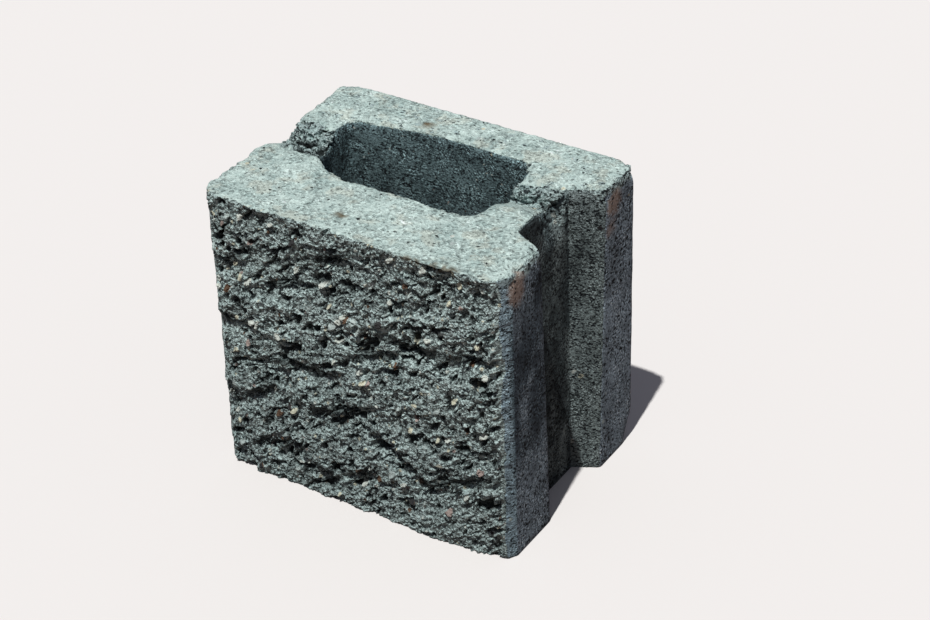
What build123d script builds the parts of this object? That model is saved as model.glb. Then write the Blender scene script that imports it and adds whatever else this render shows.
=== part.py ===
from build123d import *
from math import exp, pi, sin
import os

# A hollow building block of pressed concrete, one cast piece, in millimetres.
# +X runs along the wall, the split face looks to -Y and the block stands on its bed at z = 0.

# Overall sizes.
block_length = 190
block_width = 140
block_height = 180

# Walls round the core, at the top, where the drafted mould leaves them thinnest.
split_wall = 50
rear_wall = 28
end_web = 28
rear_corner_radius = 4

# Core: one tapered hole from bed to bed, narrower at its left end, where its front corner is
# a wide sweep that takes a share of the core's left wall.
core_draft = 4
core_corner_radius = 6
core_sweep_share = 0.7
core_rear_ease_run = 50
core_rear_ease = 8
core_rear_ease_radius = 40

# Groove in the right end, with flared sides, drafted as the core is.
groove_depth = 19.5
groove_floor_width = 50
groove_mouth_width = 65
groove_offset = 5
groove_side_draft = 6
groove_depth_draft = 5
groove_front_lip_radius = 6
groove_rear_lip_radius = 3

# Bevels beside the split face, left by the mould, and the broken margin in front of each.
bevel_depth = 4.5
bevel_run = 8
split_crown = 4
split_margin_left = 10
split_margin_right = 7

# The split face: it starts level along its top edge, a slow wave crosses it, and it breaks back along ledges,
# which are steep above and ease out below. Each ledge has its place along and up the face, its reach along
# and its drop as shares of the same lengths, its rise for each step along, and its share of the ledge depth.
split_rim_run = 14
split_wave_depth = 0.6
split_wave_length = 62
split_wave_height = 47
split_ledge_depth = 4.5
split_ledge_steep_share = 0.6
split_ledge_shares = (
    (0.12, 0.79, 0.07, 0.030, 0.60, 0.65),
    (0.29, 0.75, 0.09, 0.034, 0.40, 0.85),
    (0.44, 0.88, 0.07, 0.036, 0.50, 0.75),
    (0.74, 0.83, 0.08, 0.030, 0.40, 0.65),
    (0.71, 0.67, 0.13, 0.028, 0.00, 0.75),
    (0.90, 0.69, 0.07, 0.036, 0.10, 0.90),
    (0.57, 0.58, 0.10, 0.034, 0.45, 0.90),
    (0.06, 0.54, 0.06, 0.036, 0.20, 0.75),
    (0.33, 0.45, 0.15, 0.042, 0.10, 1.00),
    (0.16, 0.31, 0.09, 0.032, 0.65, 0.80),
    (0.42, 0.33, 0.09, 0.032, 0.45, 0.80),
    (0.61, 0.26, 0.12, 0.036, -0.60, 0.95),
    (0.84, 0.23, 0.13, 0.034, 0.45, 0.90),
    (0.93, 0.37, 0.05, 0.034, 0.20, 0.65),
    (0.19, 0.12, 0.12, 0.036, 0.25, 0.95),
    (0.35, 0.10, 0.08, 0.030, -0.50, 0.70),
    (0.51, 0.13, 0.06, 0.034, 0.40, 0.75),
)
split_columns = 44
split_rows = 54

# Scoops that the mould's core bar leaves across the top of both webs.
scoop_depth = 11
scoop_front_run = 21
scoop_rear_run = 10
scoop_root_radius = 8
left_scoop_offset = 12
right_scoop_offset = 19

# Corners that are broken off: how far each break reaches along X, Y and Z.
split_fall_length = 46
split_fall_depth = 7
split_fall_height = 64
rear_chip_length = 10
rear_chip_depth = 13
rear_chip_height = 24

overrun = 10

left = -block_length / 2
right = block_length / 2
front = -block_width / 2
rear = block_width / 2


def draft_share(z):
    """How much of the mould's draft is left at height z: all of it at the bed, none at the top."""
    return 1 - z / block_height


def body():
    """The block's plan, with its two bevels and room ahead of the split face, raised to full height."""
    bevel_front = front + split_crown
    bevel_back = bevel_front + bevel_run
    plan = Polyline(
        (left, rear),
        (left, bevel_back),
        (left + bevel_depth, bevel_front),
        (left + bevel_depth, front - overrun),
        (right - bevel_depth, front - overrun),
        (right - bevel_depth, bevel_front),
        (right, bevel_back),
        (right, rear),
        close=True,
    )
    face = make_face(plan)
    rear_corners = face.vertices().group_by(Axis.Y)[-1]
    return extrude(fillet(rear_corners, rear_corner_radius), block_height)


def ledge_depth(x, z, ledge):
    """How deep one ledge is at this place on the split face, as a share of the ledge depth."""
    along_share, up_share, reach_share, drop_share, rise_share, depth_share = ledge
    run = x - left - along_share * block_length
    rise = z - up_share * block_height - rise_share * run
    if rise > 0:
        rise = rise / split_ledge_steep_share
    along = run / (reach_share * block_length)
    up = rise / (drop_share * block_height)
    return depth_share * exp(-(along**2) - up**2)


def break_depth(x, z):
    """How far the split face goes back at this place: its crown at both sides, the wave and the ledges."""
    from_left = max(0, x - left - bevel_depth)
    from_right = max(0, right - bevel_depth - x)
    crown = exp(-((2 * from_left / split_margin_left) ** 2)) + exp(-((2 * from_right / split_margin_right) ** 2))
    rim_share = max(0, 1 - (block_height - z) / split_rim_run)
    wave = 2 + sin(2 * pi * x / split_wave_length) + sin(2 * pi * (z / split_wave_height - x / block_length))
    ledges = sum(ledge_depth(x, z, ledge) for ledge in split_ledge_shares)
    return split_crown * crown + (1 - rim_share**2) * (split_wave_depth * wave + split_ledge_depth * ledges)


def split_waste():
    """What the knife breaks off ahead of the split face, as a stack of plans, each with its broken edge."""
    places_x = [left + block_length * column / split_columns for column in range(split_columns + 1)]
    places_z = [block_height * row / split_rows for row in range(split_rows + 1)]
    breaks = [Spline(*[(x, break_depth(x, z)) for x in places_x]) for z in places_z]
    crest = min(line.bounding_box().min.Y for line in breaks)
    heights = [-overrun, *places_z, block_height + overrun]
    plans = []
    for z, line in zip(heights, [breaks[0], *breaks, breaks[-1]]):
        ahead = Polyline(line @ 1, (right, crest - 2 * overrun), (left, crest - 2 * overrun), line @ 0)
        plans.append(Pos(0, front - crest, z) * make_face([line, *ahead.edges()]))
    return loft(plans, ruled=True)


def core_section(z):
    """The core's outline at height z: square at the right, swept in at the left."""
    inset = core_draft * draft_share(z)
    core_left = left + end_web + inset
    core_right = right - groove_depth - end_web - inset
    core_front = front + split_wall + inset
    core_rear = rear - rear_wall - inset
    left_wall = core_rear - core_rear_ease - core_front
    outline = FilletPolyline(
        (core_right, core_front),
        (core_right, core_rear),
        (core_left + core_rear_ease_run, core_rear),
        (core_left, core_rear - core_rear_ease),
        (core_left, core_front),
        radius=[
            core_corner_radius,
            core_corner_radius,
            core_rear_ease_radius,
            core_corner_radius,
            core_sweep_share * left_wall,
        ],
        close=True,
    )
    return Pos(0, 0, z) * make_face(outline)


def groove_floor_x(z):
    """Where the groove's floor stands at height z."""
    return right - groove_depth + groove_depth_draft * draft_share(z)


def groove_section(z):
    """The groove's outline at height z, open past the right end."""
    side_draft = groove_side_draft * draft_share(z)
    floor_x = groove_floor_x(z)
    floor_half = groove_floor_width / 2 - side_draft
    mouth_half = groove_mouth_width / 2 - side_draft
    flare = (mouth_half - floor_half) / (right - floor_x)
    outer_half = mouth_half + flare * overrun
    outline = Polyline(
        (floor_x, groove_offset - floor_half),
        (right + overrun, groove_offset - outer_half),
        (right + overrun, groove_offset + outer_half),
        (floor_x, groove_offset + floor_half),
        close=True,
    )
    return Pos(0, 0, z) * make_face(outline)


def through_cut(section):
    """A cut from below the bed to above the top that follows the section's draft."""
    return loft([section(-overrun), section(block_height + overrun)], ruled=True)


def with_groove(block):
    """The block with its end groove cut and the two upright lips of the groove rounded."""
    block = block - through_cut(groove_section)
    front_end, rear_end = block.faces().group_by(Axis.X)[-1].sort_by(Axis.Y)
    front_lip = front_end.edges().sort_by(Axis.Y)[-1]
    rear_lip = rear_end.edges().sort_by(Axis.Y)[0]
    block = block.fillet(groove_front_lip_radius, [front_lip])
    return block.fillet(groove_rear_lip_radius, [rear_lip])


def web_scoop(start_x, end_x, deepest_y):
    """A rounded V across one web, steeper on its rear side."""
    root_z = block_height - scoop_depth
    rise = (scoop_depth + overrun) / scoop_depth
    top_z = block_height + overrun
    outline = Polyline(
        (deepest_y - scoop_front_run * rise, top_z),
        (deepest_y, root_z),
        (deepest_y + scoop_rear_run * rise, top_z),
        close=True,
    )
    face = make_face(outline)
    root = face.vertices().sort_by(Axis.Y)[0]
    section = Plane.YZ.offset(start_x) * fillet(root, scoop_root_radius)
    return extrude(section, end_x - start_x)


def without_corner(block, corner, legs):
    """The block with one corner broken off along the plane that cuts the three legs."""
    leg_x, leg_y, leg_z = legs
    on_x = corner + Vector(leg_x, 0, 0)
    on_y = corner + Vector(0, leg_y, 0)
    on_z = corner + Vector(0, 0, leg_z)
    normal = (on_y - on_x).cross(on_z - on_x)
    if (corner - on_x).dot(normal) > 0:
        normal = -normal
    break_plane = Plane(origin=on_x, x_dir=on_y - on_x, z_dir=normal)
    return split(block, bisect_by=break_plane, keep=Keep.TOP)


def block():
    """The whole cast piece."""
    core_left = left + end_web
    core_right = groove_floor_x(block_height) - end_web
    scoop_end = groove_floor_x(block_height - scoop_depth)
    piece = with_groove(body() - split_waste())
    piece = piece - through_cut(core_section)
    piece = piece - web_scoop(left - overrun, core_left + overrun, left_scoop_offset)
    piece = piece - web_scoop(core_right - overrun, scoop_end, right_scoop_offset)
    split_fall = (split_fall_length, split_fall_depth, split_fall_height)
    low_left = Vector(left, front, 0)
    low_right = Vector(right, front, 0)
    low_rear = Vector(right, rear, 0)
    piece = without_corner(piece, low_left, split_fall)
    piece = without_corner(piece, low_right, (-split_fall_length, split_fall_depth, split_fall_height))
    piece = without_corner(piece, low_rear, (-rear_chip_length, -rear_chip_depth, rear_chip_height))
    return piece


os.makedirs("parts", exist_ok=True)
export_step(block(), "parts/split_face_block.step")
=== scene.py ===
# %% [markdown]
# # A split-face concrete block
# The block is one piece of pressed concrete. A mould gave it the flat ends, the groove, the tapered
# core and the bevels. A splitting knife then broke the front off, which left the rough face. This
# lesson takes the exact solid from the frame, turns its surface into broken, pitted and worn concrete,
# and gives each kind of face its own finish.

# %% Load the exact block
import itertools
import math

import bpy
import numpy as np
from mathutils import Matrix, Vector, noise


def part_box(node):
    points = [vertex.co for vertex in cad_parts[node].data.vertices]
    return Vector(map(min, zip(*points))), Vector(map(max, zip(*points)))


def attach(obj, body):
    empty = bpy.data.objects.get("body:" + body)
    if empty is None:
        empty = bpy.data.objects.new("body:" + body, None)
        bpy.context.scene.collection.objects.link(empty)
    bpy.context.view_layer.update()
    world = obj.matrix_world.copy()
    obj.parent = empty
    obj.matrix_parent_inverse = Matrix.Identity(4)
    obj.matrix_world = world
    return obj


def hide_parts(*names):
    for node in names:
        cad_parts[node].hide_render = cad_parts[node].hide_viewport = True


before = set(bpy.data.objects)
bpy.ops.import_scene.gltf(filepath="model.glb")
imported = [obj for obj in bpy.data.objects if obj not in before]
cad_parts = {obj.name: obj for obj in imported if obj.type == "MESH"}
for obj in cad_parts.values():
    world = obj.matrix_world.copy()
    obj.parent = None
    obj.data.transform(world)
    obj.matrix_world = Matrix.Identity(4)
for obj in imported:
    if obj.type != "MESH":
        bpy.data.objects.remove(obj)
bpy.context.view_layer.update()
cad_node = "split_face_block"
box_low, box_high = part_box(cad_node)
print("block from", tuple(box_low), "to", tuple(box_high))

# %% [markdown]
# ## Camera
# The photograph was taken from above the front right corner with a long lens. The camera is placed by
# its standpoint, the way it faces and its tilt, worked out from the straight edges of the block.

# %% Camera
mm = 0.001
sensor_width = 36.0
image_width = 930
focal_pixels = 2316.4
camera_place = Vector((606.9, -875.8, 805.2)) * mm
camera_turn = math.radians(33.465)
camera_dip = math.radians(33.755)
camera_roll = math.radians(2.010)

camera_data = bpy.data.cameras.new("camera")
camera_data.sensor_fit = "HORIZONTAL"
camera_data.sensor_width = sensor_width
camera_data.lens = focal_pixels / image_width * sensor_width
camera = bpy.data.objects.new("camera", camera_data)
bpy.context.scene.collection.objects.link(camera)
facing = Matrix.Rotation(camera_turn, 4, "Z") @ Matrix.Rotation(math.pi / 2 - camera_dip, 4, "X")
camera.matrix_world = Matrix.Translation(camera_place) @ facing @ Matrix.Rotation(-camera_roll, 4, "Z")
bpy.context.scene.camera = camera
print("lens", round(camera_data.lens, 1), "mm")

# %% [markdown]
# ## Floor and light
# A plain pale floor takes the shadow. The key light is high and a little in front, so that it grazes
# the split face and every grain throws a shadow. A pale sky fills the rest. The floor shows pale to the
# camera, but it throws little light back, or it would wash out the ends of the block.

# %% Floor
floor_size = 12.0
floor_pale = (0.80, 0.77, 0.74, 1)
floor_bounce = (0.17, 0.13, 0.11, 1)


def new_material(name):
    """An empty node material and its output node."""
    material = bpy.data.materials.new(name)
    material.use_nodes = True
    material.node_tree.nodes.clear()
    output = material.node_tree.nodes.new("ShaderNodeOutputMaterial")
    return material, output


def floor_material():
    """Pale for the camera, darker for the light that it throws back."""
    material, output = new_material("pale_floor")
    nodes, links = material.node_tree.nodes, material.node_tree.links
    path = nodes.new("ShaderNodeLightPath")
    seen = nodes.new("ShaderNodeBsdfDiffuse")
    seen.inputs["Color"].default_value = floor_pale
    bounced = nodes.new("ShaderNodeBsdfDiffuse")
    bounced.inputs["Color"].default_value = floor_bounce
    choose = nodes.new("ShaderNodeMixShader")
    links.new(path.outputs["Is Camera Ray"], choose.inputs["Fac"])
    links.new(bounced.outputs["BSDF"], choose.inputs[1])
    links.new(seen.outputs["BSDF"], choose.inputs[2])
    links.new(choose.outputs["Shader"], output.inputs["Surface"])
    return material


half_floor = floor_size / 2
floor_mesh = bpy.data.meshes.new("floor")
floor_corners = [(-half_floor, -half_floor, 0), (half_floor, -half_floor, 0),
                 (half_floor, half_floor, 0), (-half_floor, half_floor, 0)]
floor_mesh.from_pydata(floor_corners, [], [(0, 1, 2, 3)])
floor_mesh.materials.append(floor_material())
floor = bpy.data.objects.new("floor", floor_mesh)
bpy.context.scene.collection.objects.link(floor)
print("floor", floor_size, "m")

# %% Light
key_direction = Vector((0.048, -0.315, 0.947))
key_strength = 3.3
key_softness = math.radians(1)
sky_colour = (0.97, 0.99, 1.22, 1)
sky_strength = 0.13
backdrop_colour = (0.80, 0.78, 0.76, 1)

key_data = bpy.data.lights.new("key", "SUN")
key_data.energy = key_strength
key_data.angle = key_softness
key = bpy.data.objects.new("key", key_data)
key.rotation_euler = key_direction.to_track_quat("Z", "Y").to_euler()
bpy.context.scene.collection.objects.link(key)

world = bpy.data.worlds.new("studio")
world.use_nodes = True
bpy.context.scene.world = world
world_nodes, world_links = world.node_tree.nodes, world.node_tree.links
world_nodes.clear()
fill = world_nodes.new("ShaderNodeBackground")
fill.inputs["Color"].default_value = sky_colour
fill.inputs["Strength"].default_value = sky_strength
backdrop = world_nodes.new("ShaderNodeBackground")
backdrop.inputs["Color"].default_value = backdrop_colour
seen_by = world_nodes.new("ShaderNodeLightPath")
world_mix = world_nodes.new("ShaderNodeMixShader")
world_out = world_nodes.new("ShaderNodeOutputWorld")
world_links.new(seen_by.outputs["Is Camera Ray"], world_mix.inputs["Fac"])
world_links.new(fill.outputs["Background"], world_mix.inputs[1])
world_links.new(backdrop.outputs["Background"], world_mix.inputs[2])
world_links.new(world_mix.outputs["Shader"], world_out.inputs["Surface"])
bpy.context.scene.view_settings.view_transform = "Standard"
print("key", key_strength, "sky", sky_strength)

# %% [markdown]
# ## A skin of small even faces
# The exact solid has a few large faces, which can't be roughened. A voxel remesh covers the same shape
# with small even squares. The copy is a new object, because the solid in the frame is never changed.

# %% Remesh a copy of the block
voxel = 0.7 * mm


def applied(piece):
    """The piece's mesh with its modifiers applied, which the piece then wears."""
    depsgraph = bpy.context.evaluated_depsgraph_get()
    mesh = bpy.data.meshes.new_from_object(piece.evaluated_get(depsgraph))
    piece.modifiers.clear()
    piece.data = mesh
    return mesh


cast = bpy.data.objects.new("split_face_block_cast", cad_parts[cad_node].data.copy())
bpy.context.scene.collection.objects.link(cast)
cast.data.materials.clear()
skin = cast.modifiers.new("skin", "REMESH")
skin.mode = "VOXEL"
skin.voxel_size = voxel
skin_mesh = applied(cast)
print("skin of", len(skin_mesh.polygons), "faces")


# %% Read the skin
def read(collection, name, width=3):
    """One property of every point or face of a mesh, a row for each."""
    flat = np.empty(len(collection) * width)
    collection.foreach_get(name, flat)
    return flat.reshape(-1, width)


place = read(skin_mesh.vertices, "co") / mm
facing_out = read(skin_mesh.vertex_normals, "vector")
x, y, z = place.T
out_x, out_y, out_z = facing_out.T
low = np.array(box_low) / mm
high = np.array(box_high) / mm
left, front, bed = low
right, rear, top = high
print("skin of", len(place), "points")

# %% Places on the block
core_left = left + 28
core_right = right - 46
core_front = front + 48
core_rear = rear - 26
bevel_back = front + 13
groove_floor_x = right - 20
core_middle_x = -10
core_middle_y = 11
from_core_x = np.abs(x - core_middle_x)
from_core_y = np.abs(y - core_middle_y)
print("core from", core_left.round(1), "to", core_right.round(1), "mm along the block")

# %% [markdown]
# ## Noise helpers
# Broken stone has detail at every scale, and each scale is one layer of noise. Smooth layers come from
# Blender's own noise. Grains are cells round random middles, and each cell keeps random values of its
# own. Sizes are in millimetres. A shift or a salt only picks another place in the same noise.

# %% Ramps and smooth noise
def ramp(value, start, end):
    """0 at start, 1 at end, smooth between."""
    share = np.clip((value - start) / (end - start), 0, 1)
    return share * share * (3 - 2 * share)


def rough(points, size, octaves=1, shift=0.0, fade=0.7):
    """Layers of noise, each half the size of the one before and weaker, from about -1 to 1."""
    scaled = points / np.asarray(size) + shift
    return np.array([noise.fractal(point, fade, 2.0, octaves) for point in scaled.tolist()])


# %% Grains
cell_mix = np.array((12.9898, 78.233, 37.719))
salt_mix = 4.137
mix_spread = 43758.5453


def random_of(cells, salt):
    """A random value from 0 to 1 for each whole-number cell, the same every time."""
    mixed = np.sin(cells @ cell_mix + salt * salt_mix) * mix_spread
    return mixed - np.floor(mixed)


def grains(points, size, salt):
    """The nearest grain to each point: distance from its middle in grain sizes, its cell and the way."""
    scaled = points / np.asarray(size)
    corner = np.floor(scaled)
    gap = np.full(len(points), np.inf)
    cell = np.empty_like(scaled)
    away = np.empty_like(scaled)
    for step in itertools.product((-1, 0, 1), repeat=3):
        near = corner + step
        middle = near + np.column_stack([random_of(near, salt + axis) for axis in range(3)])
        offset = scaled - middle
        reach = np.linalg.norm(offset, axis=1)
        closer = reach < gap
        gap[closer] = reach[closer]
        cell[closer] = near[closer]
        away[closer] = offset[closer]
    return gap, cell, away


def crumbs(points, size, salt):
    """Broken grains: each stands at a random height and leans a random way, from about -1 to 1."""
    gap, cell, away = grains(points, size, salt)
    lift = 2 * random_of(cell, salt + 3) - 1
    lean = 2 * np.column_stack([random_of(cell, salt + 4 + axis) for axis in range(3)]) - 1
    return lift + (lean * away).sum(1)


# %% [markdown]
# ## Worn edges
# Handling and weather round the edges of a block, and the crumbly ones more. A bevel would need clean
# edges, and the skin has none, so a smoothed copy of it shows where each point would go. The points go
# part of the way, further where the photograph shows wear.

# %% Smoothed copies of the skin
light_rounds = 6
heavy_rounds = 60
web_rounds = 300


def smoothed(piece, rounds):
    """The piece's points after rounds of smoothing, in millimetres."""
    ease = piece.modifiers.new("ease", "SMOOTH")
    ease.factor = 0.5
    ease.iterations = rounds
    eased = piece.evaluated_get(bpy.context.evaluated_depsgraph_get())
    points = read(eased.to_mesh().vertices, "co") / mm
    eased.to_mesh_clear()
    piece.modifiers.clear()
    return points


light_wear = smoothed(cast, light_rounds)
heavy_wear = smoothed(cast, heavy_rounds)
web_wear = smoothed(cast, web_rounds)
print("heaviest smoothing moves a point by", np.abs(web_wear - place).max().round(1), "mm")

# %% Round the edges
wear_patch = 9
on_bed = ramp(z - bed, 6, 1)
near_top = ramp(z, top - 14, top - 4)
at_split = ramp(y - front, 12, 5)
wear_noise = rough(place, wear_patch, octaves=3, shift=7.7)
worn = np.clip(0.1 + 0.6 * near_top + 0.5 * wear_noise, 0, 1) * (1 - on_bed) * (1 - at_split)
moved = place + (light_wear - place) * (1 - on_bed)[:, None]
moved += (heavy_wear - light_wear) * worn[:, None]
print("points that wear most:", (worn > 0.9).sum())

# %% Soften the webs and the rim of each end
at_left_web = ramp(x, core_left + 8, core_left)
at_right_web = ramp(x, core_right - 8, core_right) * ramp(x, right - 6, right - 16)
crisp_front = ramp(x, right - 36, right - 28) * ramp(y, 8, -2)
at_right_web *= 1 - crisp_front
between_shells = ramp(y, core_front, core_front + 12) * ramp(y, core_rear, core_rear - 10)
at_web = np.maximum(at_left_web, at_right_web) * between_shells * near_top
end_rim = ramp(np.abs(x), right - 16, right - 6) * ramp(z, top - 16, top - 6) * (1 - at_split)
softened = np.maximum(at_web, end_rim * np.clip(0.7 + 0.6 * wear_noise, 0, 1))
moved += (web_wear - heavy_wear) * softened[:, None]
print("points softened:", (softened > 0.5).sum())

# %% Crumble the edges
coarse_crumb = 5.5
fine_crumb = 2.2
edge_depth = 2.4
edge_retreat = ((place - heavy_wear) * facing_out).sum(1)
wide_retreat = ((place - web_wear) * facing_out).sum(1)
at_edge = np.maximum(ramp(edge_retreat, 0.25, 0.9), end_rim * ramp(wide_retreat, 0.4, 1.6))
at_edge *= 1 - on_bed
coarse_crumbs = crumbs(place, coarse_crumb, salt=61)
fine_crumbs = crumbs(place, fine_crumb, salt=67)
edge_loss = np.clip(0.1 + 0.8 * coarse_crumbs + 0.5 * fine_crumbs + 0.6 * wear_noise, 0, 2)
edge_loss *= at_edge * (0.3 + 0.7 * near_top) * (1 - 0.7 * at_split)
edge_loss *= 1 - 0.6 * ramp(x, left + 14, left + 8)
moved -= facing_out * (edge_depth * edge_loss)[:, None]
print("edges go back up to", (edge_depth * edge_loss).max().round(1), "mm")

# %% Bite the core's rim
wide_bite = 8
fine_bite = 3
bite_strength = 2.4
at_core = ramp(from_core_x, 74, 68) * ramp(from_core_y, 40, 36) * near_top
bites = 1.2 * rough(place, wide_bite, octaves=2, shift=3.9)
bites += 1.3 * rough(place, fine_bite, octaves=2, shift=6.6)
bites += 0.5 * coarse_crumbs
bitten = bite_strength * np.clip(bites, 0, 1.6) * at_core * (1 - at_web)
moved += (heavy_wear - light_wear) * bitten[:, None]
print("points on the core's rim:", (at_core > 0.5).sum())

# %% [markdown]
# ## The split face
# The knife breaks the concrete. The solid already has the wide ledges of the break. On them lie smaller
# ledges, lumps, single stones and sand, each as a layer of height. The layers climb to the right, as
# the ledges do. A point goes straight back or forth, and the top and the bed follow for a few
# millimetres, so that they end in the same ragged line.

# %% A sheet that climbs with the break
split_band = 16.0
split_climb = 0.35
sheet_wander = 1.6
wander_patch = 8
split_points = np.flatnonzero(y < front + split_band)
across = place[split_points]
along, behind, up = across.T
sheet = np.column_stack([along, np.zeros(len(across)), up - split_climb * along])
sheet[:, 0] += sheet_wander * rough(sheet, wander_patch, octaves=2, shift=3.7)
sheet[:, 2] += sheet_wander * rough(sheet, wander_patch, octaves=2, shift=9.1)
print("split face has", len(split_points), "points")

# %% Height of the split face
ledge_size = (22, 1, 11)
lump_size = (12, 12, 8)
pebble_size = (5.0, 5.0, 3.8)
sand_size = 2.1
bridge_size = (9, 1, 8)
pocket_size = (11, 1, 7)
ledge_lean = 2.4
ledge_height = 0.9
lump_height = 0.65
sand_height = 0.45
pebble_height = 0.6
bridge_height = 4.5
rim_fill = 1.6


def ledge_noise(points):
    """Long low ledges of the break."""
    return rough(points, ledge_size, octaves=3, shift=5.9)


def lump_noise(points):
    """Lumps as wide as a thumb."""
    return crumbs(points, lump_size, salt=11)


leaning = sheet.copy()
leaning[:, 2] += ledge_lean * (ledge_noise(sheet) + 0.5 * lump_noise(sheet))
ledges = ledge_noise(leaning)
lumps = lump_noise(leaning)
pebbles = crumbs(leaning, pebble_size, salt=23)
split_sand = crumbs(sheet, sand_size, salt=37)
faces_front = ramp(-out_y[split_points], 0.15, 0.45)
in_ledge = ramp(behind - front, 2.0, 5.0) * faces_front
under_rim = ramp(up, top - 14, top - 4) * ramp(along, left + 60, left + 90)
split_height = ledge_height * ledges + lump_height * lumps + sand_height * split_sand
split_height += (pebble_height + 0.7 * in_ledge) * pebbles + 0.8 * in_ledge * lumps
bridges = np.clip(rough(sheet, bridge_size, octaves=2, shift=8.2) + 0.1, 0, 0.9)
split_height += bridge_height * in_ledge * bridges
split_height += rim_fill * under_rim * in_ledge
pockets = np.clip(rough(leaning, pocket_size, octaves=3, shift=2.6) - 0.26, 0, None)
pockets *= 1 - 0.7 * under_rim
print("split height from", split_height.min().round(1), "to", split_height.max().round(1), "mm")

# %% Stones in the split face
stone_size = 5.2
share_shown = 0.16
share_lost = 0.09
pocket_depth = 4.5
lost_depth = 3.0
stone_gap, stone_cell, stone_away = grains(sheet, stone_size, salt=71)
stone_pick = random_of(stone_cell, 77)
stone_shown = (random_of(stone_cell, 78) < share_shown) * ramp(stone_gap, 0.48, 0.36)
stone_lost = (random_of(stone_cell, 79) < share_lost) * ramp(stone_gap, 0.46, 0.28)
stone_stands = stone_shown * (0.9 - 2.4 * stone_away[:, 2])
split_depth = pocket_depth * pockets - split_height - stone_stands + lost_depth * stone_lost
# Painted shade: faces that look down under a ledge and points deep in pockets are darkened in the finish,
# less under the top rim.
under_ledge_shade = ramp(-out_z[split_points], 0.10, 0.40)
split_hollow_shade = np.maximum(ramp(split_depth + 0.5 * ledges, 0.2, 1.7), 0.8 * under_ledge_shade)
split_hollow_shade *= 1 - 0.5 * under_rim
print("points on stones:", (stone_shown > 0.5).sum())

# %% Break the face
mean_depth = 0.7
near_edge = ramp(behind - front, 7, 0)
from_side = np.minimum(along - left, right - along)
hold = np.maximum(faces_front, near_edge) * (0.15 + 0.85 * ramp(from_side, 4, 8))
moved[split_points, 1] += (mean_depth + split_depth) * hold
print("split face goes back up to", (split_depth * hold).max().round(1), "mm")

# %% [markdown]
# ## Rough webs
# The bar that carried the core crossed both webs, so the tamper never pressed them. Their tops stayed
# loose and open, with stones that stand out and holes between them. Where the right web meets the
# groove, its edge has broken back, so the solid's straight edge is pushed in there before the loose
# stone is made.

# %% Break the right web's edge
web_edge = 1.2 * rough(place, 5, octaves=2, shift=3.1)
edge_break_depth = 5.0
over_groove = ramp(y, 0, 12) * ramp(y, 27, 20) * ramp(x, right - 10, right - 14)
edge_break = over_groove * ramp(x, right - 38, groove_floor_x) * ramp(z, top - 30, top - 8)
moved[:, 0] -= edge_break * (edge_break_depth + 1.5 * web_edge)
rear_slope = ramp(-out_y, 0.1, 0.4) * ramp(out_z, 0.1, 0.3) * at_right_web * near_top
moved[:, 1] -= rear_slope * (1.0 + 4.5 * ramp(x, right - 25, right - 42))
print("right web's edge goes back up to", (edge_break * edge_break_depth).max().round(1), "mm")


# %% Where the webs are loose
def loose_start(places, inset):
    """Where along Y the loose part of each web starts, further back at the left end."""
    left_start = front + 58 + inset + 14 * ramp(places, left + 14, left + 3)
    return np.where(places < 0, left_start, front + 82 + inset)


web_low = ramp(z + web_edge, top - 0.2, top - 2.0)
loose_from = loose_start(x, 0)
toward_rear = ramp(y + web_edge, loose_from, loose_from + 8)
in_groove = ramp(x, right - 30, right - 24) * ramp(x, right - 10, right - 14)
on_floor = ramp(out_x, 0.5, 0.9) * in_groove
crumbled_floor = on_floor * ramp(z, top - 26, top - 12) * ramp(y, -4, 8)
loose_share = np.maximum(web_low * toward_rear * ramp(out_z, 0.1, 0.35), 0.4 * crumbled_floor)
web_points = np.flatnonzero((loose_share > 0) & (z > top - 32) & (np.abs(y) < 45))
print("webs have", len(web_points), "loose points")

# %% Roughen the webs
web_crumb = 3.6
web_grain = 2.2
web_lump = 9
web_hole = 4
scoop_depth = 11
slope_bulge = 3.0
most_out = -4.0
most_in = 6.0
loose = place[web_points]
on_left = loose[:, 0] < 0
crumb_height = np.where(on_left, 1.4, 0.7)
hole_depth = np.where(on_left, 8.0, 3.0)
web_gap = grains(loose, web_crumb, salt=83)[0]
web_lumps = rough(loose, web_lump, octaves=2, shift=4.2)
web_holes = np.clip(rough(loose, web_hole, octaves=2, shift=8.8) - 0.10, 0, None)
web_depth = 0.2 - 1.0 * web_lumps - crumb_height * crumbs(loose, web_crumb, salt=83)
web_depth += 1.0 * ramp(web_gap, 0.5, 0.8) - 0.6 * crumbs(loose, web_grain, salt=97)
web_depth += hole_depth * web_holes
web_share = np.clip((top - loose[:, 2]) / scoop_depth, 0, 1)
web_depth -= slope_bulge * np.sin(math.pi * web_share) * ramp(-out_y[web_points], 0.1, 0.4)
web_push = np.clip(web_depth, most_out, most_in) * loose_share[web_points]
moved[web_points] -= facing_out[web_points] * web_push[:, None]
print("webs pushed in from", web_push.min().round(1), "to", web_push.max().round(1), "mm")

# %% [markdown]
# ## Moulded and tamped faces
# Steel leaves the sides flat and the tamper leaves the top flat, but neither is a perfect plane. A slow
# swell of a few tenths of a millimetre bends the light on them.

# %% Uneven the flat faces
swell_patch = 16
press_patch = 5
calm = 1 - on_bed
calm[split_points] *= 1 - hold
calm *= 1 - loose_share
swell = 0.15 + 0.14 * rough(place, swell_patch, octaves=3, shift=6.1)
tamped = ramp(out_z, 0.7, 0.9)
press = 0.35 * np.clip(rough(place, press_patch, octaves=3, shift=1.9), 0, None)
moved -= facing_out * (calm * np.clip(swell + tamped * press, 0, None))[:, None]
print("flat faces swell by up to", swell.max().round(2), "mm")

# %% [markdown]
# ## Kinds of face
# Each face of the skin is named by where it is and the way it faces, for its finish. The borders
# between the kinds wander a little, because on real concrete they do.

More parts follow.
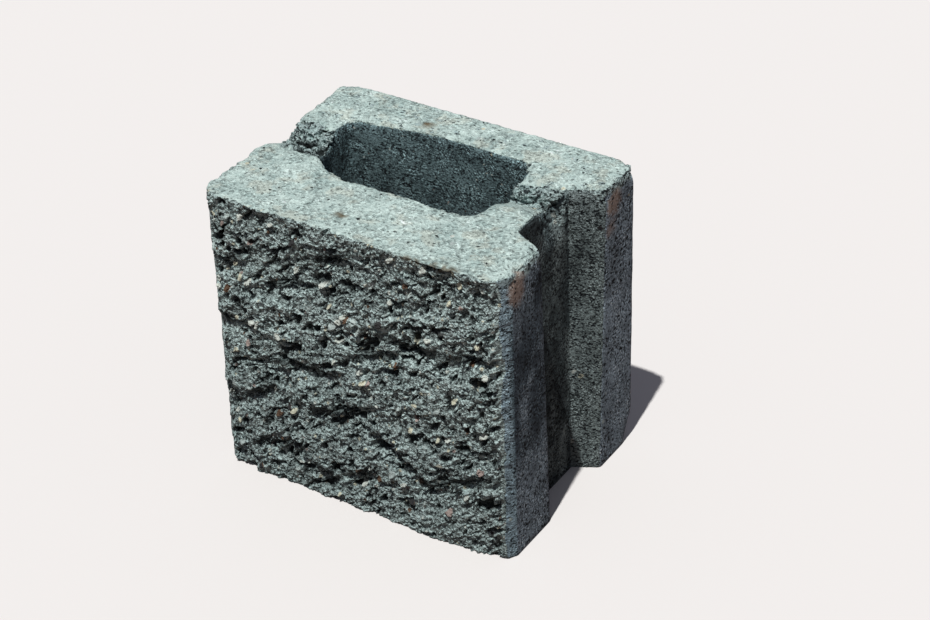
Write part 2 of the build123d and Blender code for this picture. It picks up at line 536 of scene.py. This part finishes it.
# %% Name the kinds of face
SPLIT, TAMPED, WEB, MOULDED, CORE, BEVEL, GROOVE = range(7)
core_low = np.array((core_left - 8, core_front - 6))
core_high = np.array((core_right + 6, core_rear + 6))


def face_kinds(mesh):
    """Which finish each face of the clean skin takes."""
    centre = read(mesh.polygons, "center") / mm
    mid_x, mid_y, mid_z = centre.T
    face_x, face_y, face_z = read(mesh.polygons, "normal").T
    jag = rough(centre, 4, octaves=2, shift=2.1)
    in_core = ((centre[:, :2] > core_low) & (centre[:, :2] < core_high)).all(1)
    kinds = np.full(len(centre), MOULDED)
    kinds[in_core] = CORE
    groove_floor = (np.abs(mid_x - groove_floor_x) < 6) & (face_x > 0.5)
    groove_wall = (mid_x > right - 26) & (face_y < -0.5) & (mid_y > 10)
    kinds[groove_floor | groove_wall] = GROOVE
    on_slope = (face_z > 0.2) & (mid_z > top - 16)
    kinds[(np.abs(face_z) > 0.7) | on_slope] = TAMPED
    sunk = mid_z < top - 1.0 + 2 * jag
    kinds[on_slope & sunk & (mid_y + 2 * jag > loose_start(mid_x, 2))] = WEB
    floor_top = groove_floor & (mid_z > top - 19 + 5 * jag)
    kinds[floor_top & (mid_y > 2 + 3 * jag)] = WEB
    end_arris = (mid_x > right - 6) & (mid_z > top - 5 + 4 * jag)
    kinds[end_arris & (face_x > 0.3) & (np.abs(mid_y) > 28)] = WEB
    at_front = (mid_y < bevel_back) & (face_y < -0.3) & (np.abs(face_z) < 0.7)
    kinds[at_front] = BEVEL
    kinds[at_front & (np.abs(face_x) < 0.8)] = SPLIT
    return kinds


kinds_found = face_kinds(skin_mesh)
skin_mesh.polygons.foreach_set("material_index", kinds_found)
print("faces of each kind:", np.bincount(kinds_found))

# %% [markdown]
# ## Values for the finishes
# The points keep values that the finishes read: how much painted shade a point takes in a hollow, whether
# it is a stone and of which kind, how worn it is (with a painted highlight along the top of the ends), how
# rusty or dirty it is, and how much it is darkened, which on the groove floor and deep in the core is
# painted shade. Painting them by hand would give the same, but a formula follows the shape when it changes.

# %% Painted shade in hollows, and stones
# The hollow values are painted shade for the split face's pockets and the webs' holes.
hollow_shade_start = np.where(on_left, -0.3, 0.9)
hollow_shade_end = np.where(on_left, 0.3, 1.9)
hollow = np.zeros(len(place))
hollow[split_points] = split_hollow_shade * hold
hollow[web_points] = ramp(web_depth, hollow_shade_start, hollow_shade_end) * loose_share[web_points]
stone = np.zeros(len(place))
stone[split_points] = stone_shown * hold
pick = np.zeros(len(place))
pick[split_points] = stone_pick
print("points in hollows:", (hollow > 0.5).sum())

# %% Worn rims, and a painted highlight along the top of the ends
worn_rim_and_highlight = at_edge * near_top * np.clip(0.6 + wear_noise, 0, 1)
worn_rim_and_highlight[split_points] *= 1 - hold
rear_lip = at_edge * ramp(x, right - 9, right - 5) * ramp(y, 22, 28) * ramp(y, 44, 40)
worn_rim_and_highlight = np.maximum(worn_rim_and_highlight, 0.5 * rear_lip * np.clip(0.7 + wear_noise, 0, 1))
# A pale band along the top of each end face is painted in the worn colour as a highlight of the rounded
# arris.
faces_end = ramp(out_x, 0.4, 0.8)
end_band_highlight = faces_end * ramp(x, right - 6, right - 3) * ramp(z + 3 * wear_noise, top - 8, top - 4)
worn_rim_and_highlight = np.maximum(worn_rim_and_highlight, 0.9 * end_band_highlight)
print("points on worn rims:", (worn_rim_and_highlight > 0.5).sum())

# %% Darkening and painted shade
streak_size = (9, 9, 60)
spot_size = 12
# The front flange's end, the groove's rear wall and the foot of the split face are made darker, the foot
# more towards the bottom. On the groove floor and deep in the core the darkening is painted shade.
flange_darkening_share = 1.1
groove_wall_darkening_share = 0.4
groove_floor_shade_share = 0.94
core_shade_share = 0.73
foot_darkening_share = 0.27
streaks = rough(place, streak_size, octaves=3, shift=5.3)
streaks += 0.6 * rough(place, spot_size, octaves=3, shift=2.9)
front_flange = faces_end * ramp(y, core_front, core_front - 10) * ramp(y, bevel_back - 4, bevel_back)
below_lip = np.maximum(ramp(z, top - 10, top - 55), ramp(y, front + 27, front + 35))
flange_darkening = front_flange * below_lip * ramp(z, bed + 38, bed + 84)
groove_wall_darkening = ramp(-out_y, 0.5, 0.8) * ramp(x, right - 26, groove_floor_x) * ramp(y, 0, 15)
darkening_and_shade = np.maximum(flange_darkening_share * flange_darkening, groove_wall_darkening_share * groove_wall_darkening)
darkening_and_shade *= ramp(z, top - 4, top - 18)
darkening_and_shade = np.maximum(darkening_and_shade, groove_floor_shade_share * on_floor) * np.clip(0.9 + 0.9 * streaks, 0, 1.2)
# Painted shade, stronger deeper down in the core.
core_plan = ramp(from_core_x, 72, 68) * ramp(from_core_y, 40, 36)
core_shade = core_plan * ramp(z, top - 4, top - 48) * np.clip(0.75 + 0.9 * streaks, 0, 1.2)
darkening_and_shade = np.maximum(darkening_and_shade, core_shade_share * core_shade)
foot_darkening = foot_darkening_share * faces_front * ramp(up, top - 60, bed + 30)
darkening_and_shade[split_points] = np.maximum(darkening_and_shade[split_points], foot_darkening)
print("damp points:", (darkening_and_shade > 0.5).sum())


# %% Smears and dirt
def smear(middle, reach):
    """A ragged patch round one place."""
    away = (((place - np.array(middle)) / np.array(reach)) ** 2).sum(1)
    return ramp(np.exp(-away) + 0.3 * wear_noise * (away < 4), 0.3, 0.6)


spot_reach = (4, 2.5, 3)
front_smear = smear((right, front + 17, top - 11), (5, 7, 10))
rear_smear = smear((right, 46, top - 12), (4, 8, 8))
rear_drip = smear((right, 43, top - 26), (3, 5, 4))
rust = np.maximum(front_smear, np.maximum(rear_smear, 0.8 * rear_drip))
front_spot = smear((left + 82, front + 17, top), spot_reach)
rear_spot = smear((left + 69, rear - 19, top), spot_reach)
edge_dirt = smear((right - 40, front, top), (20, 4, 4)) * ramp(crumbs(place, 3.0, salt=41), 0.0, 0.3)
dirt = np.maximum(np.maximum(front_spot, rear_spot), 0.8 * edge_dirt)
print("smeared points:", (rust > 0.5).sum(), "dirty points:", (dirt > 0.5).sum())

# %% [markdown]
# ## Hand the shape over
# The values go to the mesh, and the moved points with them. Then the flat parts are thinned out,
# because far more faces were used to shape the skin than it needs. Broken faces stay unsmoothed, so
# that each small facet catches the light by itself.

# %% Hand the values to the mesh
kept = {
    "hollow": hollow,
    "stone": stone,
    "pick": pick,
    "worn": worn_rim_and_highlight,
    "darkening_and_shade": darkening_and_shade,
    "rust": rust,
    "dirt": dirt,
}
for name, values in kept.items():
    skin_mesh.attributes.new(name, "FLOAT", "POINT").data.foreach_set("value", values)
print("kept:", list(kept))

# %% Finish the mesh
face_budget = 192_000
moved = np.clip(moved, low, high)
skin_mesh.vertices.foreach_set("co", (moved * mm).ravel())
skin_mesh.update()
thin = cast.modifiers.new("thin", "DECIMATE")
thin.ratio = face_budget / (2 * len(skin_mesh.polygons))
cast_mesh = applied(cast)
broken = np.isin(read(cast_mesh.polygons, "material_index", 1)[:, 0], (SPLIT, WEB))
cast_mesh.polygons.foreach_set("use_smooth", ~broken)
cast_mesh.calc_loop_triangles()
print("cast has", len(cast_mesh.loop_triangles), "triangles")

# %% [markdown]
# ## Node helpers
# A material is a tree of small nodes. These helpers add a node and join it in one line, so that a
# finish reads as a short recipe.

# %% Add and join nodes
def fill_in(tree, made, values):
    """Set a node's inputs to values, or join them to sockets."""
    for name, value in values.items():
        if isinstance(value, bpy.types.NodeSocket):
            tree.links.new(value, made.inputs[name])
        else:
            made.inputs[name].default_value = value


def add(tree, kind, values=None, **settings):
    """A shader node with its settings and inputs."""
    made = tree.nodes.new("ShaderNode" + kind)
    for name, value in settings.items():
        setattr(made, name, value)
    fill_in(tree, made, values or {})
    return made


# %% Blend and reckon
def blend(tree, factor, first, second, mode="MIX"):
    """A colour between two colours."""
    made = add(tree, "Mix", {0: factor, 6: first, 7: second}, data_type="RGBA", blend_type=mode)
    return made.outputs[2]


def sums(tree, operation, first, second=0.0):
    """One step of arithmetic on two values."""
    return add(tree, "Math", {0: first, 1: second}, operation=operation).outputs[0]


def times(tree, first, second):
    """Two values multiplied."""
    return sums(tree, "MULTIPLY", first, second)


def remap(tree, value, start, end, new_start=0.0, new_end=1.0):
    """A value moved from one range to another, and kept inside it."""
    return add(tree, "MapRange", {0: value, 1: start, 2: end, 3: new_start, 4: new_end}).outputs[0]


# %% Noise and cells
def noise_value(tree, start, scale, detail, roughness=0.5):
    """Noise at the group's own place."""
    values = {"Vector": start["Place"], "Scale": scale, "Detail": detail, "Roughness": roughness}
    return add(tree, "TexNoise", values).outputs["Fac"]


def random_cells(tree, start, scale):
    """Cells at the group's own place: distance from the middle of each and its two random values."""
    cells = add(tree, "TexVoronoi", {"Vector": start["Place"], "Scale": scale})
    tones = add(tree, "SeparateColor", {0: cells.outputs["Color"]})
    return cells.outputs["Distance"], tones.outputs[0], tones.outputs[1]


# %% Groups
def new_group(name, inputs, outputs):
    """A node group with these sockets: its tree, what comes in and what goes out."""
    tree = bpy.data.node_groups.new(name, "ShaderNodeTree")
    for socket_name in inputs:
        kind = "NodeSocketVector" if socket_name == "Place" else "NodeSocketFloat"
        tree.interface.new_socket(socket_name, in_out="INPUT", socket_type=kind)
    for socket_name in outputs:
        tree.interface.new_socket(socket_name, in_out="OUTPUT", socket_type="NodeSocketFloat")
    start = tree.nodes.new("NodeGroupInput")
    end = tree.nodes.new("NodeGroupOutput")
    return tree, start.outputs, end.inputs


def use_group(tree, group, values):
    """A group placed in a material, with its own values."""
    made = tree.nodes.new("ShaderNodeGroup")
    made.node_tree = group
    fill_in(tree, made, values)
    return made.outputs


# %% [markdown]
# ## What all concrete shows
# Cement dries in blotches, sand gives it a fine grain, air leaves pits, crushed stone shows where the
# skin is broken, and iron and dust leave stains. Each is a node group, and every finish uses them with
# its own values. A painted picture could show the same, but it would blur close up and need a new one
# for each block.

# %% Cement
def cement_group():
    """Uneven tone of dried cement, from wide blotches down to a fine mottle."""
    tree, start, end = new_group("cement_tone", ["Place", "Blotch", "Mottle"], ["Tone"])
    wide = noise_value(tree, start, sums(tree, "DIVIDE", 1.0, start["Blotch"]), 3.0)
    fine = noise_value(tree, start, sums(tree, "DIVIDE", 1.0, start["Mottle"]), 5.0, 0.75)
    both = sums(tree, "ADD", times(tree, wide, 0.6), fine)
    tree.links.new(remap(tree, both, 0.55, 1.05), end["Tone"])
    return tree


cement_tone = cement_group()
print("group", cement_tone.name)


# %% Grit
def grit_group():
    """Fine uneven grain, from about -1 to 1, weak in some patches and strong in others."""
    tree, start, end = new_group("grit", ["Place", "Size", "Patch"], ["Value"])
    grain = noise_value(tree, start, sums(tree, "DIVIDE", 1.0, start["Size"]), 2.0, 0.6)
    value = remap(tree, grain, 0.33, 0.67, -1.0, 1.0)
    patch = noise_value(tree, start, sums(tree, "DIVIDE", 1.0, start["Patch"]), 2.0)
    strength = remap(tree, patch, 0.38, 0.60, 0.35, 1.25)
    tree.links.new(times(tree, value, strength), end["Value"])
    return tree


grit_grain = grit_group()
print("group", grit_grain.name)


# %% Sand
def sand_group():
    """Packed grains: a random tone for each, and their height."""
    tree, start, end = new_group("sand_grains", ["Place", "Size"], ["Tone", "Height"])
    scale = sums(tree, "DIVIDE", 1.0, start["Size"])
    cell_values = {"Vector": start["Place"], "Scale": scale, "Detail": 1.0, "Roughness": 0.7}
    cells = add(tree, "TexVoronoi", cell_values)
    tones = add(tree, "SeparateColor", {0: cells.outputs["Color"]})
    tree.links.new(tones.outputs[0], end["Tone"])
    fine = noise_value(tree, start, times(tree, scale, 0.9), 3.0, 0.7)
    dome = sums(tree, "SUBTRACT", 1.0, cells.outputs["Distance"])
    tree.links.new(sums(tree, "ADD", dome, fine), end["Height"])
    return tree


sand_grains = sand_group()
print("group", sand_grains.name)


# %% Air pits
def uneven_edge(tree, start, distance, scale, detail, raggedness):
    """The distance from a cell's middle, made ragged by noise."""
    jitter = noise_value(tree, start, scale, detail)
    uneven = times(tree, sums(tree, "SUBTRACT", jitter, 0.5), raggedness)
    return sums(tree, "ADD", distance, uneven)


def pits_group():
    """Holes of many sizes in loose clusters. Share says how many of the places hold one."""
    tree, start, end = new_group("air_pits", ["Place", "Size", "Share"], ["Mask"])
    scale = sums(tree, "DIVIDE", 1.0, start["Size"])
    cluster = noise_value(tree, start, times(tree, scale, 0.15), 2.0)
    crowd = remap(tree, cluster, 0.35, 0.65, 0.1, 1.8)
    distance, chance, wideness = random_cells(tree, start, scale)
    there = sums(tree, "LESS_THAN", chance, times(tree, start["Share"], crowd))
    radius = remap(tree, sums(tree, "POWER", wideness, 2.0), 0.0, 1.0, 0.14, 0.46)
    edge = uneven_edge(tree, start, distance, times(tree, scale, 2.0), 3.0, 1.3)
    hole = remap(tree, edge, times(tree, radius, 0.7), radius, 1.0, 0.0)
    tree.links.new(times(tree, there, hole), end["Mask"])
    return tree


air_pits = pits_group()
print("group", air_pits.name)


# %% Stone chips
def chips_group():
    """Scattered stone chips with uneven outlines: where they are, and a random pick for each."""
    tree, start, end = new_group("stone_chips", ["Place", "Size", "Share"], ["Mask", "Pick"])
    scale = sums(tree, "DIVIDE", 1.0, start["Size"])
    distance, chance, pick_value = random_cells(tree, start, scale)
    there = sums(tree, "LESS_THAN", chance, start["Share"])
    edge = uneven_edge(tree, start, distance, times(tree, scale, 2.3), 2.0, 0.7)
    body = remap(tree, edge, 0.32, 0.44, 1.0, 0.0)
    tree.links.new(times(tree, there, body), end["Mask"])
    tree.links.new(pick_value, end["Pick"])
    return tree


stone_chips = chips_group()
print("group", stone_chips.name)


# %% Stains
def stains_group():
    """Ragged patches. Cover moves between none at 0 and all over at 1."""
    tree, start, end = new_group("stains", ["Place", "Size", "Cover", "Soft"], ["Mask"])
    patch = noise_value(tree, start, sums(tree, "DIVIDE", 1.0, start["Size"]), 6.0, 0.6)
    edge = sums(tree, "SUBTRACT", 0.85, times(tree, start["Cover"], 0.7))
    above = sums(tree, "ADD", edge, start["Soft"])
    tree.links.new(remap(tree, patch, edge, above), end["Mask"])
    return tree


stain_patches = stains_group()
print("group", stain_patches.name)

# %% [markdown]
# ## Layers of a finish
# A finish is built as the real face was: cement first, then the grain of sand and grit, crevices,
# stones, stains and pits. The gaps between grains, the crevices, the hollows and the pits are darkened as
# painted shade.
# Each layer takes the colour so far and gives it back changed. What a face shows of each layer is its look,
# a set of named values with sizes in millimetres.


# %% Cement colour
# The pale tint of worn rims; along the top of the end faces it is a painted highlight.
worn_and_highlight_tint = (0.46, 0.58, 0.56, 1)
worn_strength = 0.8
dust_tint = (0.66, 0.70, 0.59, 1)
dust_size = 14
dust_strength = 0.5
stain_soft = 0.08


def kept_value(tree, name):
    """A value that the points of the mesh kept."""
    return add(tree, "Attribute", attribute_name=name).outputs["Fac"]


def stain_mask(tree, at, size, cover, soft=stain_soft):
    """Where ragged patches of one size lie."""
    values = {"Place": at, "Size": size * mm, "Cover": cover, "Soft": soft}
    return use_group(tree, stain_patches, values)["Mask"]


def cement_colour(tree, at, look):
    """Cement between its two colours, paler on worn rims and on the painted highlight along the top of the
    ends, and dusty in patches. Gives its tone too.
    """
    sizes = {"Place": at, "Blotch": look["blotch"] * mm, "Mottle": look["mottle"] * mm}
    tone = use_group(tree, cement_tone, sizes)["Tone"]
    colour = blend(tree, tone, look["dark"], look["light"])
    colour = blend(tree, times(tree, kept_value(tree, "worn"), worn_strength), colour, worn_and_highlight_tint)
    dusty = stain_mask(tree, at, dust_size, look["dust"])
    return blend(tree, times(tree, dusty, dust_strength), colour, dust_tint), tone


# %% Grain
def grained(tree, at, look, colour):
    """Sand and grit over the colour, with painted shade in the low gaps between grains. Gives their height
    too.
    """
    grit_values = {"Place": at, "Size": look["grit"] * mm, "Patch": look["patch"] * mm}
    grit_value = use_group(tree, grit_grain, grit_values)["Value"]
    grain = use_group(tree, sand_grains, {"Place": at, "Size": look["sand"] * mm})
    bright = remap(tree, grain["Tone"], 0.0, 1.0, 1 - look["speckle"], 1 + 0.4 * look["speckle"])
    # Painted shade: the low gaps between sand grains are darkened.
    gap_shade = remap(tree, grain["Height"], 0.75, 1.15, 1 - look["gap"], 1.0)
    gritty = sums(tree, "POWER", look["grit_show"], grit_value)
    shade = times(tree, times(tree, bright, gap_shade), gritty)
    shade_colour = add(tree, "CombineColor", {0: shade, 1: shade, 2: shade}).outputs[0]
    colour = blend(tree, 1.0, colour, shade_colour, "MULTIPLY")
    colour = blend(tree, 1.0, colour, look["palest"], "DARKEN")
    coarse = times(tree, grit_value, look["grit_lift"])
    fine = times(tree, grain["Height"], look["relief"])
    return colour, sums(tree, "ADD", coarse, fine)


# %% Crevices, painted dark as their shade
# Near black painted shade for the insides of pits and crevices.
painted_pit_shade = (0.009, 0.013, 0.016, 1)
crevice_sway = 0.04


def creviced(tree, flat, look, colour, tone):
    """Crevices painted dark as their shade over the colour, more of them where the cement is dark. Gives
    their mask too.
    """
    most = look["crevice_cover"] + crevice_sway
    least = look["crevice_cover"] - crevice_sway
    crowded = remap(tree, tone, 0.2, 0.8, most, least)
    cracks = stain_mask(tree, flat, look["crevice"], crowded, look["crevice_soft"])
    return blend(tree, times(tree, cracks, look["crevice_show"]), colour, painted_pit_shade), cracks


# %% Stones
stone_tints = (
    (0.00, (0.64, 0.69, 0.62, 1)),
    (0.34, (0.65, 0.65, 0.50, 1)),
    (0.54, (0.46, 0.54, 0.51, 1)),
    (0.80, (0.13, 0.08, 0.05, 1)),
    (0.88, (0.04, 0.04, 0.04, 1)),
    (0.95, (0.42, 0.34, 0.30, 1)),
)
stone_edge = (0.35, 0.65)


def tint_ramp(tree, random_pick):
    """The colour of a stone from its random pick."""
    kinds = add(tree, "ValToRGB", {0: random_pick})
    points = kinds.color_ramp.elements
    for point, (position, tint) in zip(points, (stone_tints[0], stone_tints[-1])):
        point.position = position
        point.color = tint
    for position, tint in stone_tints[1:-1]:
        points.new(position).color = tint
    kinds.color_ramp.interpolation = "CONSTANT"
    return kinds.outputs["Color"]


def stony(tree, at, look, colour):
    """Small chips and the stones of the break over the colour. Gives where the stones are too."""
    chip_values = {"Place": at, "Size": look["chip"] * mm, "Share": look["chip_share"]}
    chips = use_group(tree, stone_chips, chip_values)
    colour = blend(tree, chips["Mask"], colour, tint_ramp(tree, chips["Pick"]))
    stones_here = kept_value(tree, "stone")
    stone_colour = tint_ramp(tree, kept_value(tree, "pick"))
    return blend(tree, remap(tree, stones_here, *stone_edge), colour, stone_colour), stones_here


# %% Darkening, smears and painted shade in hollows
# Multiplied in where points are darkened; on the groove floor and deep in the core it is painted shade.
darkening_and_shade_tint = (0.25, 0.27, 0.285, 1)
smear_tint = (0.46, 0.33, 0.25, 1)
smear_strength = 0.75
dirt_tint = (0.16, 0.13, 0.08, 1)
rust_tint = (0.15, 0.085, 0.045, 1)
rust_size = 8
rust_strength = 0.6
# Near black painted into hollows as their shade.
hollow_shade_tint = (0.008, 0.0125, 0.0125, 1)


def stained(tree, at, look, colour):
    """Darkening (painted shade on the groove floor and deep in the core), brown smears, dirt, specks of
    rust and painted shade in hollows over the colour.
    """
    colour = blend(tree, kept_value(tree, "darkening_and_shade"), colour, darkening_and_shade_tint, "MULTIPLY")
    colour = blend(tree, times(tree, kept_value(tree, "rust"), smear_strength), colour, smear_tint)
    colour = blend(tree, kept_value(tree, "dirt"), colour, dirt_tint)
    rusty = stain_mask(tree, at, rust_size, look["rust"])
    colour = blend(tree, times(tree, rusty, rust_strength), colour, rust_tint)
    sunk = times(tree, kept_value(tree, "hollow"), look["hollow_show"])
    return blend(tree, sunk, colour, hollow_shade_tint)


# %% Pits in a finish, painted dark as their shade
worn_pits = 0.4
pit_shade_strength = 0.95


def pitted(tree, flat, look, colour):
    """Air pits painted near black as the shade inside them, more of them on worn rims. Gives their mask
    too.
    """
    share = sums(tree, "ADD", times(tree, kept_value(tree, "worn"), worn_pits), look["pit_share"])
    pit_values = {"Place": flat, "Size": look["pit"] * mm, "Share": share}
    pits = use_group(tree, air_pits, pit_values)["Mask"]
    return blend(tree, times(tree, pits, pit_shade_strength), colour, painted_pit_shade), pits


# %% [markdown]
# ## Finishes
# All seven finishes are the same concrete. They differ in how pale the cement skin is, how much sand
# shows and how deep it stands. One function lays the layers over each other and ends in one shader,
# with a bump for the relief that is too fine for the mesh.

# %% One finish
usual_look = {
    "blotch": 30,
    "patch": 9,
    "hollow_show": 0.0,
    "crevice_soft": 0.05,
    "flatten": 1.0,
    "palest": (1, 1, 1, 1),
}


def concrete(name, **own_look):
    """One finish of concrete, from its look."""
    look = usual_look | own_look
    material, output = new_material(name)
    tree = material.node_tree
    at = add(tree, "TexCoord").outputs["Object"]
    squash = {0: at, 1: (1, 1, look["flatten"])}
    flat = add(tree, "VectorMath", squash, operation="MULTIPLY").outputs[0]
    colour, tone = cement_colour(tree, at, look)
    colour, raised = grained(tree, at, look, colour)
    colour, cracks = creviced(tree, flat, look, colour, tone)
    colour, stones_here = stony(tree, at, look, colour)
    colour = stained(tree, at, look, colour)
    colour, pits = pitted(tree, flat, look, colour)
    sunken = sums(tree, "ADD", times(tree, pits, 0.9), times(tree, cracks, 0.5))
    height = sums(tree, "SUBTRACT", raised, sunken)
    strength = remap(tree, stones_here, *stone_edge, 1.0, 0.4)
    bump = add(tree, "Bump", {"Height": height, "Distance": mm, "Strength": strength})
    surface = {
        "Base Color": colour,
        "Normal": bump.outputs["Normal"],
        "Roughness": 0.92,
        "Specular IOR Level": 0.25,
    }
    shader = add(tree, "BsdfPrincipled", surface)
    tree.links.new(shader.outputs["BSDF"], output.inputs["Surface"])
    return material


# %% Broken and tamped finishes
split_concrete = concrete(
    "split_concrete", dark=(0.46, 0.60, 0.575, 1), light=(0.82, 1.0, 0.95, 1), palest=(0.59, 0.73, 0.70, 1),
    mottle=5, grit=1.4, patch=7, grit_show=2.6, grit_lift=0.45, sand=1.5, speckle=0.8, gap=0.45, relief=0.5,
    pit=4, pit_share=0.08, chip=2.6, chip_share=0.13, dust=0.22, rust=0.06, hollow_show=0.9,
    crevice=2.2, crevice_cover=0.40, crevice_show=0.85)
tamped_concrete = concrete(
    "tamped_concrete", dark=(0.37, 0.50, 0.47, 1), light=(0.83, 1.0, 0.92, 1),
    blotch=16, mottle=5, grit=1.6, grit_show=1.4, grit_lift=0.38, sand=1.3, speckle=0.14, gap=0.22,
    relief=0.38, pit=3.0, pit_share=0.05, chip=3.5, chip_share=0.01, dust=0.46, rust=0.04,
    crevice=2.3, crevice_cover=0.40, crevice_show=0.5, crevice_soft=0.10)
open_concrete = concrete(
    "open_concrete", dark=(0.47, 0.63, 0.61, 1), light=(0.74, 0.91, 0.87, 1), palest=(0.51, 0.62, 0.595, 1),
    mottle=5, grit=1.5, grit_show=1.7, grit_lift=0.45, sand=1.8, speckle=0.45, gap=0.4, relief=0.5,
    pit=4, pit_share=0.08, chip=4, chip_share=0.04, dust=0.32, rust=0.04, hollow_show=0.98,
    crevice=2.6, crevice_cover=0.42, crevice_show=0.95)
print("made", split_concrete.name, tamped_concrete.name, open_concrete.name)

# %% Moulded finishes
moulded_concrete = concrete(
    "moulded_concrete", dark=(0.15, 0.19, 0.215, 1), light=(0.50, 0.63, 0.71, 1),
    blotch=26, mottle=9, grit=1.3, patch=14, grit_show=2.7, grit_lift=0.16, sand=1.3, speckle=0.35, gap=0.3,
    relief=0.12, pit=3.2, pit_share=0.78, chip=4, chip_share=0.01, dust=0.1, rust=0.04,
    crevice=2.5, crevice_cover=0.405, crevice_show=0.97, flatten=1.3)
core_concrete = concrete(
    "core_concrete", dark=(0.07, 0.11, 0.115, 1), light=(0.31, 0.45, 0.46, 1),
    mottle=7, grit=1.1, patch=8, grit_show=2.8, grit_lift=0.20, sand=1.2, speckle=0.5, gap=0.3,
    relief=0.2, pit=2.2, pit_share=0.4, chip=1.6, chip_share=0.015, dust=0.1, rust=0.02,
    crevice=1.8, crevice_cover=0.42, crevice_show=0.95, flatten=1.4)
bevel_concrete = concrete(
    "bevel_concrete", dark=(0.27, 0.37, 0.41, 1), light=(0.58, 0.79, 0.88, 1),
    mottle=8, grit=1.1, patch=14, grit_show=2.0, grit_lift=0.20, sand=1.1, speckle=0.25, gap=0.3,
    relief=0.15, pit=3.0, pit_share=0.55, chip=4, chip_share=0.01, dust=0.1, rust=0.02,
    crevice=2.6, crevice_cover=0.41, crevice_show=0.97, flatten=2.2)
groove_concrete = concrete(
    "groove_concrete", dark=(0.16, 0.20, 0.195, 1), light=(0.46, 0.56, 0.545, 1),
    mottle=8, grit=1.0, patch=10, grit_show=2.4, grit_lift=0.36, sand=1.0, speckle=0.30, gap=0.3,
    relief=0.25, pit=2.6, pit_share=0.6, chip=4, chip_share=0.01, dust=0.1, rust=0.02,
    crevice=2.0, crevice_cover=0.43, crevice_show=0.97, flatten=1.6)
print("made", moulded_concrete.name, core_concrete.name, bevel_concrete.name, groove_concrete.name)

# %% Dress the block
finish_of_kind = {
    SPLIT: split_concrete,
    TAMPED: tamped_concrete,
    WEB: open_concrete,
    MOULDED: moulded_concrete,
    CORE: core_concrete,
    BEVEL: bevel_concrete,
    GROOVE: groove_concrete,
}
for kind in sorted(finish_of_kind):
    cast_mesh.materials.append(finish_of_kind[kind])
print("finishes on the block:", len(cast_mesh.materials))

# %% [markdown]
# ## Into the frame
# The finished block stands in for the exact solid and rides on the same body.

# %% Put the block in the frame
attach(cast, "root")
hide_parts(cad_node)
print("block in place of", cad_node)
